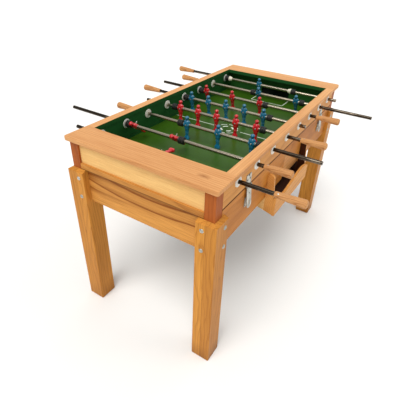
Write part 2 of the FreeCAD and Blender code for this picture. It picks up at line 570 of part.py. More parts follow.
def bumper():
    """A ribbed rubber bumper on the Y axis, starting at 0."""
    bore, groove, count = ROD_RADIUS + RUN_GAP, BUMPER_RADIUS - BUMPER_GROOVE, BUMPER_RIBS
    pitch = BUMPER_LENGTH / count
    points = [(0, bore)]
    for k in range(count):
        start, end = k * pitch, (k + 1) * pitch
        points += [(start, BUMPER_RADIUS - 1), (start + 1, BUMPER_RADIUS), (end - 3.2, BUMPER_RADIUS),
                   (end - 2.2, BUMPER_RADIUS - 1), (end - 2.2, groove), (end, groove)]
    return turned(points + [(BUMPER_LENGTH, bore)])


def cone():
    """A goalie rod's stop collar on the Y axis: wide end out."""
    bore = ROD_RADIUS + FIX_GAP
    end = CONE_FROM + CONE_LENGTH
    sides = [(CONE_FROM, CONE_SMALL), (end - 5, CONE_BIG), (end, CONE_BIG)]
    return turned([(CONE_FROM, bore)] + sides + [(end, bore)])


def handle(grip_at):
    """A turned wooden handle on the Y axis: a slim neck, a grip that widens all the way and a blunt end."""
    bore, turn = ROD_RADIUS + FIX_GAP, HANDLE_END_ROUND
    y0, y1, bottom = grip_at, grip_at + HANDLE_LENGTH, grip_at + HANDLE_BORE
    points = [V(0, y0 + along_grip, radius) for along_grip, radius in HANDLE_SIDE]
    side = Part.BSplineCurve()
    side.interpolate(points)
    wide = points[-1]
    flat, slant = wide.z - turn, turn * math.sqrt(0.5)
    corner = Part.Arc(wide, V(0, wide.y + slant, flat + slant), V(0, y1, flat)).toShape()
    lines = Part.makePolygon([V(0, y1, flat), V(0, y1, 0), V(0, bottom, 0), V(0, bottom, bore),
                              V(0, y0, bore), V(0, y0, points[0].z - 1), points[0]])
    wire = Part.Wire([side.toShape(), corner] + lines.Edges)
    return Part.Face(wire).revolve(V(0, 0, 0), Y_AXIS, 360)


one_man = man()
one_cone = cone()
bumper_back = bumper()
bumper_front = mirrored(bumper_back, Y_AXIS)

for number, (kind, side, offset, lean) in enumerate(RODS, start=1):
    spec = KINDS[kind]
    x = rod_x(number)
    name = "rod_%d_" % number
    stop = CONE_FROM + CONE_LENGTH + 0.5 if kind == "goalie" else max(spec["men"]) + MAN_TO_BUMPER

    bar_ends = (side * (spec["grip_at"] + HANDLE_BORE - PAST), -side * spec["bare_at"])
    bar = rod(V(0, min(bar_ends), 0), V(0, max(bar_ends), 0), ROD_RADIUS)
    bar = bar.makeChamfer(0.8, [e for e in bar.Edges if e.BoundBox.YLength < 0.01])
    save(name + "shaft", moved(bar, x, offset, ROD_Z))

    leaning = one_man.copy()
    leaning.rotate(V(0, 0, 0), Y_AXIS, -lean)
    save(name + "men", *[moved(leaning, x, offset + y, ROD_Z) for y in spec["men"]])

    outer, inner = moved(bumper_back, x, offset + stop, ROD_Z), moved(bumper_front, x, offset - stop, ROD_Z)
    save(name + "bumpers", outer, inner)
    grip = handle(spec["grip_at"])
    save(name + "handle", moved(grip if side > 0 else mirrored(grip, Y_AXIS), x, offset, ROD_Z))
    if kind == "goalie":
        pair = (one_cone, mirrored(one_cone, Y_AXIS))
        save(name + "cones", *[moved(one, x, offset, ROD_Z) for one in pair])
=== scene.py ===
import json
import math

import bmesh
import bpy
from mathutils import Matrix, Quaternion, Vector


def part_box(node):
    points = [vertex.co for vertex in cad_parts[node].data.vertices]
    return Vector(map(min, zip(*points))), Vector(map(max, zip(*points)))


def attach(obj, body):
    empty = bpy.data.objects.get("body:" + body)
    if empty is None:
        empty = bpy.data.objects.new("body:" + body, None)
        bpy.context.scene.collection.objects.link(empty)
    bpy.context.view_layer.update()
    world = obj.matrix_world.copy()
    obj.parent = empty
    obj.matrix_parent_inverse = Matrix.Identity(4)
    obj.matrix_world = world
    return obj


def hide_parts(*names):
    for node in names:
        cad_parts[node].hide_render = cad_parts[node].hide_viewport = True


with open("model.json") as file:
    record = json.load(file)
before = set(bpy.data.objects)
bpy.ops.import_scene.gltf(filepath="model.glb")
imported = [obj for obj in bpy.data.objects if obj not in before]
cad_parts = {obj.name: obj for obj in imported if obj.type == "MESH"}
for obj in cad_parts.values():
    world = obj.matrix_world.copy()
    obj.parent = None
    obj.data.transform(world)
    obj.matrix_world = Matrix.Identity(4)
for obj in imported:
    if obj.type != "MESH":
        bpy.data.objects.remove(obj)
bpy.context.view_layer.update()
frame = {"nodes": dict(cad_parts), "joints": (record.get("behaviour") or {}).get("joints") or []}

# Foosball table. Metres, in the CAD model's frame: X along the table, Y across it, Z up.
# Every new mesh keeps its object at the origin, so Object coordinates are the frame's own.
MM = 0.001
Z_UP = Vector((0, 0, 1))

SPINS = [joint for joint in frame["joints"] if joint["name"].endswith("_spin")]
ROD_X = [joint["pos_m"][0] for joint in SPINS]
ROD_Z = SPINS[0]["pos_m"][2]
MEN_ON_ROD = (1, 2, 3, 5, 5, 3, 2, 1)
RED_RODS = (1, 2, 4, 6)
# How far each rod's players lean from upright at rest, feet towards +X.
LEAN = {1: 85, 2: 53, 3: 0, 4: 0, 5: 8, 6: 14, 7: 18, 8: 10}
MAN_PITCH = {1: 0, 2: 222 * MM, 3: 164.5 * MM, 5: 105 * MM}

field_high, rim_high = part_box("playfield")[1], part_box("rim_boards")[1]
FIELD_TOP = field_high.z
# The joints between the tilting box and the base, along the sides and at the ends.
SIDE_SEAM, END_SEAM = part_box("rod_rail_front")[0].z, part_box("end_rails")[0].z

# Inner faces of boards whose two sides share a node: the rim's opening, the rod rails, the end panels and the tray.
RIM_OPEN_X, RIM_OPEN_Y = 574 * MM, 311 * MM
RAIL_INNER_Y = 314 * MM
PANEL_IN_X = 664 * MM
TRAY_IN_X, TRAY_IN_Y = (-221 * MM, 175 * MM), -378 * MM
# How far past an inner face a painted region reaches, and the width of a leg's outer stave.
SKIN, STAVE_WIDTH = 0.3 * MM, 45 * MM


# ---------------------------------------------------------------- material nodes
class Surface:
    """One material: a Principled shader, and short ways to add the nodes that feed it."""

    def __init__(self, name, constants):
        self.material = bpy.data.materials.new(name)
        self.material.use_nodes = True
        self.tree = self.material.node_tree
        self.shader = self.tree.nodes["Principled BSDF"]
        for socket, value in constants.items():
            self.shader.inputs[socket].default_value = value
        self.place = self.add("ShaderNodeTexCoord").outputs["Object"]

    def put(self, socket, value):
        if isinstance(value, bpy.types.NodeSocket):
            self.tree.links.new(value, socket)
        elif hasattr(value, "__len__") and len(value) == 3 and len(socket.default_value) == 4:
            socket.default_value = (*value, 1)
        else:
            socket.default_value = value

    def add(self, kind, inputs=None, **settings):
        node = self.tree.nodes.new(kind)
        for key, value in settings.items():
            setattr(node, key, value)
        for key, value in (inputs or {}).items():
            self.put(node.inputs[key], value)
        return node

    def math(self, operation, a, b=0.0):
        return self.add("ShaderNodeMath", {0: a, 1: b}, operation=operation).outputs[0]

    def axes(self):
        split = self.add("ShaderNodeSeparateXYZ", {0: self.place})
        return split.outputs[0], split.outputs[1], split.outputs[2]

    def vector(self, x, y, z):
        return self.add("ShaderNodeCombineXYZ", {0: x, 1: y, 2: z}).outputs[0]

    def stretch(self, vector, scales):
        return self.add("ShaderNodeVectorMath", {0: vector, 1: scales}, operation="MULTIPLY").outputs[0]

    def noise(self, vector, scale, detail=2.0, rough=0.5):
        inputs = {"Vector": vector, "Scale": scale, "Detail": detail, "Roughness": rough}
        return self.add("ShaderNodeTexNoise", inputs).outputs[0]

    def ramp(self, factor, stops):
        """A ramp through (place, grey or colour) stops."""
        node = self.add("ShaderNodeValToRGB", {0: factor})
        marks = node.color_ramp.elements
        while len(marks) < len(stops):
            marks.new(1.0)
        for mark, (at, value) in zip(marks, stops):
            mark.position = at
            mark.color = (*value, 1) if hasattr(value, "__len__") else (value, value, value, 1)
        return node.outputs[0]

    def mix(self, factor, a, b, how="MIX"):
        return self.add("ShaderNodeMixRGB", {0: factor, 1: a, 2: b}, blend_type=how).outputs[0]

    def scaled(self, value, low, high):
        """A 0 to 1 value carried to low to high."""
        return self.math("ADD", self.math("MULTIPLY", value, high - low), low)

    def inside(self, lowest, highest):
        """1 between two corners of a region, 0 outside it."""
        within = 1.0
        for value, low, high in zip(self.axes(), lowest, highest):
            within = self.math("MULTIPLY", within, self.math("GREATER_THAN", value, low))
            within = self.math("MULTIPLY", within, self.math("LESS_THAN", value, high))
        return within

    def length(self, vector):
        return self.add("ShaderNodeVectorMath", {0: vector}, operation="LENGTH").outputs["Value"]

    def painted(self, colour, streak, paint, thin, thick):
        """A colour, with paint of uneven depth over one region: (tint, lowest corner, highest corner)."""
        tint, lowest, highest = paint
        coat = self.mix(streak, [thin * c for c in tint], [thick * c for c in tint])
        return self.mix(self.inside(lowest, highest), colour, coat)

    def near_level(self, level, reach):
        """1 at a height, falling to 0 at a distance above and below it."""
        away = self.math("ABSOLUTE", self.math("SUBTRACT", self.axes()[2], level))
        return self.ramp(self.math("DIVIDE", away, reach), [(0.25, 1.0), (1.0, 0.0)])

    def bump(self, height, strength, distance, under=None):
        inputs = {"Height": height, "Strength": strength, "Distance": distance}
        if under is not None:
            inputs["Normal"] = under
        return self.add("ShaderNodeBump", inputs).outputs[0]

    def edges(self, radius):
        """0 on flat faces, towards 1 at the outer edges, where hands and time wear them."""
        soft = self.add("ShaderNodeBevel", {"Radius": radius}, samples=4).outputs[0]
        true = self.add("ShaderNodeNewGeometry").outputs["Normal"]
        same = self.add("ShaderNodeVectorMath", {0: soft, 1: true}, operation="DOT_PRODUCT").outputs["Value"]
        return self.ramp(self.math("SUBTRACT", 1.0, same), [(0.02, 0.0), (0.25, 1.0)])

    def finish(self, colour, rough, normal=None):
        self.put(self.shader.inputs["Base Color"], colour)
        self.put(self.shader.inputs["Roughness"], rough)
        if normal is not None:
            self.put(self.shader.inputs["Normal"], normal)
        return self.material


# ---------------------------------------------------------------- materials
WALL_GREEN = (0.012, 0.078, 0.018)
# Dark brown painted shade over the inside of the ball tray.
TRAY_SHADE = (0.040, 0.010, 0.003)
# Near-black painted shade over the inner faces of the end panels and end rails, inside the goal mouths.
GOAL_MOUTH_SHADE = (0.004, 0.012, 0.007)
# A knot's radius, the width of worn edges, and how far the painted shade reaches on each side of a joint.
KNOT_RADIUS, WORN_EDGE, SEAM_SHADE_REACH = 16 * MM, 2.5 * MM, 6 * MM
# How far apart the trees of opposite boards lie, from end to end and from side to side, in metres of grain.
END_TREE, SIDE_TREE = 1.7, 3.1
# The apron's sagging lines: how far in front of the middle they are lowest, and their curve.
ARC_LOWEST, ARC_CURVE = 60 * MM, 0.30
# Their width, how far they wander up and down, and how far they take to fade.
ARC_WIDTH, ARC_WANDER, ARC_FADE = 6 * MM, 26 * MM, 26 * MM
LACQUER = {"Coat Weight": 0.03, "Coat Roughness": 0.30, "IOR": 1.38, "Specular IOR Level": 0.14}


def shares(pale, dark, share):
    """A colour between two others."""
    return [(1 - share) * p + share * d for p, d in zip(pale, dark)]


def darker(colour, share):
    return [share * c for c in colour]


def grain_axes(s, grain):
    """Distances along, across and into a board, and its tree: opposite boards come from different trees."""
    x, y, z = s.axes()
    end_tree = s.math("MULTIPLY", s.math("SIGN", x), END_TREE)
    side_tree = s.math("MULTIPLY", s.math("SIGN", y), SIDE_TREE)
    if grain == "x":
        return x, z, y, side_tree
    if grain == "y":
        return y, z, x, end_tree
    if grain == "z":
        return z, x, y, s.math("ADD", end_tree, side_tree)
    at_end = s.math("GREATER_THAN", s.math("ABSOLUTE", x), RIM_OPEN_X)
    at_side = s.math("SUBTRACT", 1.0, at_end)
    along = s.math("ADD", s.math("MULTIPLY", y, at_end), s.math("MULTIPLY", x, at_side))
    across = s.math("ADD", s.math("MULTIPLY", x, at_end), s.math("MULTIPLY", y, at_side))
    tree = s.math("ADD", s.math("MULTIPLY", end_tree, at_end), s.math("MULTIPLY", side_tree, at_side))
    return along, across, z, tree


def knot_bulge(s, along, across, knot):
    """1 in the middle of a knot that is twice as long as it is wide, 0 outside it."""
    off_along = s.math("MULTIPLY", s.math("SUBTRACT", along, knot[0]), 0.5)
    aside = s.vector(off_along, s.math("SUBTRACT", across, knot[1]), 0.0)
    return s.ramp(s.math("DIVIDE", s.length(aside), KNOT_RADIUS), [(0.0, 1.0), (0.35, 0.55), (1.0, 0.0)])


def with_sagging_lines(s, lines, along, across, drift, levels):
    """Adds dark lines that sweep along a board, lowest a little in front of its middle, each fading on one side."""
    bow = s.math("POWER", s.math("ADD", along, ARC_LOWEST), 2.0)
    level = s.math("SUBTRACT", across, s.math("MULTIPLY", bow, ARC_CURVE))
    level = s.math("ADD", level, s.math("MULTIPLY", s.math("SUBTRACT", drift, 0.5), ARC_WANDER))
    for height in levels:
        below = s.math("SUBTRACT", height, level)
        off = s.math("ABSOLUTE", s.math("DIVIDE", below, ARC_WIDTH))
        sharp = s.ramp(off, [(0.15, 1.0), (0.6, 0.25), (1.0, 0.0)])
        soft = s.ramp(s.math("DIVIDE", below, -ARC_FADE), [(0.0, 0.0), (0.02, 0.42), (1.0, 0.0)])
        lines = s.math("ADD", lines, s.math("ADD", sharp, soft))
    return lines


def wood(name, pale, dark, grain, spacing, warp, contrast, heart, arcs=(), paint=None, seam=None, knot=None):
    """Lacquered wood.

    grain is the axis it runs along, or "rim" for boards that run both ways. spacing is the distance between growth
    rings, warp how far they wander, contrast how dark they are, and heart the tree's middle across and behind the
    board. arcs are the depths of dark sagging lines under the seam, paint is (tint, lowest corner, highest corner)
    of a painted region, seam the height of a joint, with a dark joint line and painted shade beside it,
    and knot the place of a knot along and across the board.
    """
    s = Surface(name, LACQUER)
    along, across, deep, tree = grain_axes(s, grain)
    here = s.vector(s.math("ADD", along, tree), across, deep)
    drift = s.noise(s.stretch(here, (2.2, 9.0, 9.0)), 1.0, 3.0, 0.45)
    from_heart = s.vector(0.0, s.math("SUBTRACT", across, heart[0]), s.math("SUBTRACT", deep, heart[1]))
    rings = s.math("ADD", s.math("DIVIDE", s.length(from_heart), spacing), s.math("MULTIPLY", drift, warp))
    if knot:
        bulge = knot_bulge(s, along, across, knot)
        rings = s.math("ADD", rings, s.math("MULTIPLY", bulge, 1.6))
    late = s.ramp(s.math("FRACT", rings), [(0.0, 0.75), (0.07, 0.1), (0.45, 0.0), (0.8, 0.35), (0.97, 1.0)])
    streak = s.noise(s.stretch(here, (9.0, 420.0, 420.0)), 1.0, 3.0, 0.6)
    fibre = s.noise(s.stretch(here, (60.0, 2600.0, 2600.0)), 1.0, 2.0, 0.5)
    tone = s.noise(s.stretch(here, (1.3, 14.0, 14.0)), 1.0, 2.0, 0.5)

    lines = s.math("MULTIPLY", late, contrast)
    lines = s.math("ADD", lines, s.math("MULTIPLY", s.ramp(streak, [(0.42, 0.0), (0.75, 1.0)]), 0.5))
    if arcs:
        lines = with_sagging_lines(s, lines, along, across, drift, [seam - depth for depth in arcs])
        lines = s.math("ADD", lines, s.math("MULTIPLY", late, s.ramp(along, [(0.06, 0.0), (0.27, 0.7)])))
    body = s.mix(s.ramp(tone, [(0.3, 0.0), (0.7, 1.0)]), pale, shares(pale, dark, 0.38))
    colour = s.mix(s.math("MINIMUM", lines, 1.0), body, dark)
    if knot:
        colour = s.mix(s.math("MULTIPLY", bulge, 0.75), colour, darker(dark, 0.6))
    colour = s.mix(0.16, colour, s.ramp(fibre, [(0.3, 0.2), (0.7, 1.0)]), "MULTIPLY")
    worn = s.math("MULTIPLY", s.edges(WORN_EDGE), s.ramp(streak, [(0.35, 0.15), (0.7, 0.6)]))
    colour = s.mix(worn, colour, darker(dark, 0.55))
    # A dark band on both sides of the joint: the joint line, and painted shade for the gap and the shadow under the
    # edge above it.
    if seam:
        colour = s.mix(s.math("MULTIPLY", s.near_level(seam, SEAM_SHADE_REACH), 0.9), colour, darker(dark, 0.30))
    if paint:
        colour = s.painted(colour, streak, paint, 0.8, 1.5)
    normal = s.bump(streak, 0.16, 0.4 * MM, s.bump(late, 0.10, 0.3 * MM))
    return s.finish(colour, s.scaled(streak, 0.38, 0.58), normal)


def staves(name, pale, dark):
    """Legs glued up from two staves, with the grain along Z and a tint of its own for each stave."""
    s = Surface(name, LACQUER)
    x, y, z = s.axes()
    side_x, side_y = s.math("SIGN", x), s.math("SIGN", y)
    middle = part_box("legs_back")[1].y - STAVE_WIDTH
    outer = s.math("GREATER_THAN", s.math("ABSOLUTE", y), middle)
    shift = s.math("ADD", s.math("MULTIPLY", outer, 0.37), s.math("MULTIPLY", side_x, 0.9))
    shift = s.math("ADD", shift, s.math("MULTIPLY", side_y, 2.3))
    here = s.vector(s.math("ADD", x, shift), y, s.math("ADD", z, shift))
    drift = s.noise(s.stretch(here, (7.0, 7.0, 1.6)), 1.0, 3.0, 0.5)
    rings = s.math("ADD", s.math("MULTIPLY", x, 52.0), s.math("MULTIPLY", y, 38.0))
    rings = s.math("ADD", rings, s.math("MULTIPLY", drift, 9.0))
    late = s.ramp(s.math("FRACT", rings), [(0.0, 0.6), (0.1, 0.1), (0.5, 0.0), (0.85, 0.4), (0.98, 1.0)])
    streak = s.noise(s.stretch(here, (380.0, 380.0, 8.0)), 1.0, 3.0, 0.6)
    fibre = s.noise(s.stretch(here, (2400.0, 2400.0, 55.0)), 1.0, 2.0)
    tone = s.noise(s.stretch(here, (12.0, 12.0, 1.2)), 1.0, 2.0)
    body = s.mix(s.ramp(tone, [(0.3, 0.0), (0.72, 1.0)]), pale, shares(pale, dark, 0.4))
    body = s.mix(s.math("MULTIPLY", outer, 0.16), body, dark)
    lines = s.math("MULTIPLY", late, 0.42)
    lines = s.math("ADD", lines, s.math("MULTIPLY", s.ramp(streak, [(0.45, 0.0), (0.75, 1.0)]), 0.45))
    colour = s.mix(s.math("MINIMUM", lines, 1.0), body, dark)
    colour = s.mix(0.10, colour, s.ramp(fibre, [(0.3, 0.25), (0.7, 1.0)]), "MULTIPLY")
    off_joint = s.math("ABSOLUTE", s.math("SUBTRACT", s.math("ABSOLUTE", y), middle))
    joint = s.math("LESS_THAN", off_joint, 0.35 * MM)
    colour = s.mix(s.math("MULTIPLY", joint, 0.55), colour, darker(dark, 0.3))
    worn = s.math("MULTIPLY", s.edges(WORN_EDGE), s.ramp(streak, [(0.35, 0.15), (0.7, 0.6)]))
    colour = s.mix(worn, colour, darker(dark, 0.5))
    scuffed = s.math("MULTIPLY", s.ramp(z, [(0.0, 1.0), (0.09, 0.0)]), s.ramp(drift, [(0.35, 0.0), (0.65, 0.6)]))
    colour = s.mix(scuffed, colour, darker(dark, 0.45))
    return s.finish(colour, s.scaled(streak, 0.30, 0.52), s.bump(streak, 0.12, 0.4 * MM, s.bump(late, 0.1, 0.3 * MM)))


def plywood(name, pale, dark, paint=None):
    """Plywood: rotary grain on the faces, thin brown plies on the edges, and a painted region if one is given."""
    s = Surface(name, {"Specular IOR Level": 0.25})
    z = s.axes()[2]
    drift = s.noise(s.stretch(s.place, (2.5, 6.0, 6.0)), 1.0, 3.0)
    flower = s.math("ADD", s.math("MULTIPLY", z, 34.0), s.math("MULTIPLY", drift, 5.5))
    lines = s.ramp(s.math("FRACT", flower), [(0.0, 0.5), (0.12, 0.05), (0.7, 0.1), (1.0, 0.7)])
    streak = s.noise(s.stretch(s.place, (11.0, 300.0, 300.0)), 1.0, 3.0, 0.6)
    speck = s.noise(s.stretch(s.place, (90.0, 700.0, 700.0)), 1.0, 2.0)
    colour = s.mix(s.math("MULTIPLY", lines, 0.6), pale, dark)
    colour = s.mix(s.math("MULTIPLY", s.ramp(streak, [(0.4, 0.0), (0.75, 1.0)]), 0.5), colour, dark)
    specks = s.math("MULTIPLY", s.ramp(speck, [(0.55, 0.0), (0.75, 1.0)]), 0.4)
    colour = s.mix(specks, colour, darker(dark, 0.6))
    layer = s.math("FRACT", s.math("MULTIPLY", z, 1 / (2.2 * MM)))
    plies = s.ramp(layer, [(0.0, 1.0), (0.45, 0.9), (0.55, 0.5), (1.0, 0.55)])
    colour = s.mix(s.math("MULTIPLY", s.edges(2.0 * MM), 0.5), colour, plies, "MULTIPLY")
    if paint:
        colour = s.painted(colour, streak, paint, 0.7, 1.4)
    return s.finish(colour, s.scaled(streak, 0.45, 0.7), s.bump(streak, 0.15, 0.3 * MM))


def laminate(name, colour, worn_colour, low_rough, high_rough):
    """Smooth green laminate, faintly mottled, with fine scuffs from play."""
    s = Surface(name, {"IOR": 1.42, "Specular IOR Level": 0.24})
    cloud = s.noise(s.place, 5.0, 4.0, 0.55)
    grit = s.noise(s.place, 900.0, 2.0)
    scuff = s.noise(s.stretch(s.place, (26.0, 140.0, 60.0)), 1.0, 5.0, 0.65)
    marks = s.ramp(scuff, [(0.6, 0.0), (0.78, 1.0)])
    shade = s.mix(s.ramp(cloud, [(0.3, 0.0), (0.7, 1.0)]), [0.86 * c for c in colour], [1.14 * c for c in colour])
    shade = s.mix(s.math("MULTIPLY", marks, 0.22), shade, worn_colour)
    shade = s.mix(s.math("MULTIPLY", grit, 0.12), shade, [0.6 * c for c in colour])
    rough = s.math("ADD", s.scaled(cloud, low_rough, high_rough), s.math("MULTIPLY", marks, 0.12))
    return s.finish(shade, rough, s.bump(grit, 0.06, 0.1 * MM))


def moulded(name, colour, low_rough, gloss, worn_colour):
    """Moulded plastic: a skin with slight flow marks, fine grit and rubbed edges."""
    s = Surface(name, {"Coat Weight": gloss, "Coat Roughness": 0.12, "IOR": 1.5, "Subsurface Weight": 0.04,
                       "Subsurface Scale": 0.002})
    flow = s.noise(s.place, 55.0, 3.0, 0.55)
    grit = s.noise(s.place, 1400.0, 2.0)
    rub = s.noise(s.place, 210.0, 4.0, 0.6)
    pale = [min(1, 1.18 * c) for c in colour]
    shade = s.mix(s.ramp(flow, [(0.3, 0.0), (0.7, 1.0)]), darker(colour, 0.82), pale)
    point = s.add("ShaderNodeNewGeometry").outputs["Pointiness"]
    rubbed = s.math("MULTIPLY", s.ramp(point, [(0.51, 0.0), (0.6, 1.0)]), s.ramp(rub, [(0.42, 0.0), (0.62, 1.0)]))
    shade = s.mix(s.math("MULTIPLY", rubbed, 0.5), shade, worn_colour)
    rough = s.math("ADD", s.scaled(flow, low_rough, low_rough + 0.14), s.math("MULTIPLY", rubbed, 0.15))
    return s.finish(shade, rough, s.bump(grit, 0.08, 0.06 * MM, s.bump(flow, 0.12, 0.3 * MM)))


def metal(name, colour, stain, grain, low_rough, high_rough, spots):
    """Worn metal: grain scales along X, Y and Z, and a share of dull spots."""
    s = Surface(name, {"Metallic": 1.0})
    lines = s.noise(s.stretch(s.place, grain), 1.0, 3.0, 0.6)
    cloud = s.noise(s.place, 38.0, 4.0, 0.6)
    pits = s.noise(s.place, 420.0, 4.0, 0.7)
    dull = s.math("MULTIPLY", s.ramp(cloud, [(0.42, 0.0), (0.62, 1.0)]), spots)
    shade = s.mix(s.ramp(lines, [(0.3, 0.0), (0.7, 0.35)]), colour, stain)
    shade = s.mix(dull, shade, stain)
    pitted = s.math("MULTIPLY", s.ramp(pits, [(0.55, 0.0), (0.72, 1.0)]), spots)
    shade = s.mix(pitted, shade, darker(stain, 0.45))
    rough = s.math("ADD", s.scaled(lines, low_rough, high_rough), s.math("MULTIPLY", dull, 0.2))
    return s.finish(shade, rough, s.bump(lines, 0.1, 0.1 * MM, s.bump(pits, 0.12, 0.1 * MM)))


def rod_metal(name):
    """Drawn steel with painted reflection: pale where the rod runs inside the box, dark outside it, with grease
    patches there.
    """
    s = Surface(name, {"Metallic": 1.0})
    # Painted reflection: a pale tone inside the box, where the rod reflects the sky, and a dark tone outside it.
    outside = s.ramp(s.math("ABSOLUTE", s.axes()[1]), [(RIM_OPEN_Y, 0.0), (RIM_OPEN_Y + 30 * MM, 1.0)])
    drawn = s.noise(s.stretch(s.place, (420.0, 5.0, 420.0)), 1.0, 3.0, 0.6)
    cloud = s.noise(s.stretch(s.place, (60.0, 7.0, 60.0)), 1.0, 4.0, 0.6)
    dirt = s.ramp(cloud, [(0.42, 0.0), (0.75, 1.0)])
    bright = s.mix(s.math("MULTIPLY", dirt, 0.45), (0.52, 0.46, 0.35), (0.20, 0.155, 0.10))
    # Outside the box: grease patches over a dark tone, which is painted reflection of the darker surroundings.
    grease_and_dark_reflection = s.mix(s.ramp(cloud, [(0.35, 0.0), (0.5, 1.0)]), (0.24, 0.20, 0.15), (0.045, 0.034, 0.024))
    lines = s.math("MULTIPLY", s.ramp(drawn, [(0.4, 0.0), (0.75, 1.0)]), 0.3)
    colour = s.mix(lines, s.mix(outside, bright, grease_and_dark_reflection), (0.05, 0.038, 0.026))
    rough = s.math("ADD", s.scaled(drawn, 0.16, 0.30), s.math("MULTIPLY", dirt, 0.12))
    return s.finish(colour, rough, s.bump(drawn, 0.1, 0.1 * MM))


def rubber(name):
    """Black rubber, gritty and dusty."""
    s = Surface(name, {"IOR": 1.45})
    dust = s.noise(s.place, 130.0, 5.0, 0.65)
    grit = s.noise(s.place, 1900.0, 2.0)
    colour = s.mix(s.ramp(dust, [(0.45, 0.0), (0.75, 0.6)]), (0.012, 0.012, 0.011), (0.06, 0.055, 0.048))
    return s.finish(colour, s.scaled(dust, 0.42, 0.72), s.bump(grit, 0.2, 0.1 * MM))


def line_paint(name):
    """White pitch paint, thin and worn through in specks."""
    s = Surface(name, {"IOR": 1.45})
    cloud = s.noise(s.place, 60.0, 4.0, 0.6)
    specks = s.noise(s.place, 700.0, 3.0, 0.6)
    colour = s.mix(s.ramp(cloud, [(0.3, 0.0), (0.7, 1.0)]), (0.60, 0.72, 0.56), (0.86, 0.88, 0.82))
    colour = s.mix(s.ramp(specks, [(0.62, 0.0), (0.72, 0.7)]), colour, (0.16, 0.30, 0.12))
    return s.finish(colour, s.scaled(cloud, 0.35, 0.6), s.bump(specks, 0.2, 0.05 * MM))


HONEY, AMBER = (0.76, 0.350, 0.078), (0.28, 0.082, 0.012)
PEACH, RUST = (0.86, 0.475, 0.200), (0.46, 0.155, 0.038)
STRAW, OCHRE = (0.99, 0.640, 0.250), (0.62, 0.270, 0.062)
TAN, BROWN = (0.67, 0.265, 0.046), (0.28, 0.078, 0.011)
SAND, FAWN = (0.80, 0.385, 0.100), (0.42, 0.135, 0.024)
BIRCH, BIRCH_DARK = (0.80, 0.48, 0.17), (0.42, 0.20, 0.05)

leg_wood = staves("leg_wood", (0.72, 0.315, 0.052), AMBER)
rim_wood = wood("rim_wood", PEACH, RUST, "rim", 11 * MM, 1.8, 0.34, (0.0, 0.78), knot=(-0.262, -0.641), paint=(
    WALL_GREEN, (-RIM_OPEN_X - SKIN, -RIM_OPEN_Y - SKIN, 0),
    (RIM_OPEN_X + SKIN, RIM_OPEN_Y + SKIN, rim_high.z - SKIN)))
apron_wood = wood("apron_wood", HONEY, AMBER, "y", 34 * MM, 1.5, 0.18, (0.30, 0.10),
                  arcs=(19 * MM, 72 * MM), seam=END_SEAM)
# The end panels' inner faces are painted near-black, as painted shade inside the goals.
panel_wood = wood("panel_wood", STRAW, OCHRE, "y", 13 * MM, 2.0, 0.28, (0.90, 0.80), paint=(
    GOAL_MOUTH_SHADE, (-PANEL_IN_X - SKIN, -1, 0), (PANEL_IN_X + SKIN, 1, 1)))
# The end rails' inner faces get the same near-black painted shade.
rail_end_wood = wood("rail_end_wood", HONEY, AMBER, "y", 9 * MM, 2.2, 0.45, (0.70, 0.80), seam=END_SEAM, paint=(
    GOAL_MOUTH_SHADE, (-PANEL_IN_X - SKIN, -1, 0), (PANEL_IN_X + SKIN, 1, 1)))
side_wood = wood("side_wood", TAN, BROWN, "x", 12 * MM, 2.6, 0.38, (0.66, 0.40), seam=SIDE_SEAM, paint=(
    WALL_GREEN, (-1, -RAIL_INNER_Y - SKIN, FIELD_TOP - SKIN), (1, RAIL_INNER_Y + SKIN, 1)))
rod_rail_wood = wood("rod_rail_wood", SAND, FAWN, "x", 10 * MM, 2.4, 0.36, (0.62, 0.50), seam=SIDE_SEAM, paint=(
    WALL_GREEN, (-1, -RAIL_INNER_Y - SKIN, 0), (1, RAIL_INNER_Y + SKIN, 1)))
post_wood = wood("post_wood", (0.50, 0.135, 0.026), (0.26, 0.055, 0.008), "z", 7 * MM, 2.4, 0.4, (0.60, 0.40))
# The tray's inner faces are painted dark brown, as painted shade.
tray_wood = wood("tray_wood", SAND, FAWN, "x", 10 * MM, 2.2, 0.35, (0.50, -0.25), paint=(
    TRAY_SHADE, (TRAY_IN_X[0] - SKIN, TRAY_IN_Y - SKIN, 0), (TRAY_IN_X[1] + SKIN, 0, 1)))
handle_wood = wood("handle_wood", (0.76, 0.41, 0.165), (0.30, 0.095, 0.024), "y", 4 * MM, 1.6, 0.62, (0.86, 0.05))
# The tray floor and the inner faces of its cheeks are painted dark brown, as painted shade.
tray_ply = plywood("tray_ply", BIRCH, BIRCH_DARK, (TRAY_SHADE, (TRAY_IN_X[0] - SKIN, -1, 0), (TRAY_IN_X[1] + SKIN, 1, 1)))
panel_ply = plywood("panel_ply", (0.66, 0.30, 0.085), (0.34, 0.12, 0.028))
# Near-black plywood for the ball runway: painted shade under the field.
shaded_runway_ply = plywood("shaded_runway_ply", (0.10, 0.045, 0.014), (0.035, 0.014, 0.005))
green_field = laminate("green_field", (0.032, 0.092, 0.005), (0.10, 0.19, 0.05), 0.26, 0.40)
green_wall = laminate("green_wall", (0.020, 0.100, 0.018), (0.04, 0.14, 0.05), 0.34, 0.48)
red_plastic = moulded("red_plastic", (0.56, 0.006, 0.014), 0.20, 0.35, (0.62, 0.12, 0.10))
blue_plastic = moulded("blue_plastic", (0.005, 0.135, 0.245), 0.20, 0.35, (0.10, 0.30, 0.38))
cream_plastic = moulded("cream_plastic", (0.74, 0.70, 0.56), 0.34, 0.1, (0.40, 0.34, 0.22))
white_plastic = moulded("white_plastic", (0.90, 0.88, 0.80), 0.34, 0.1, (0.55, 0.48, 0.36))
rod_steel = rod_metal("rod_steel")
zinc_steel = metal("zinc_steel", (0.62, 0.62, 0.57), (0.30, 0.29, 0.24), (90.0, 90.0, 500.0), 0.30, 0.55, 0.55)
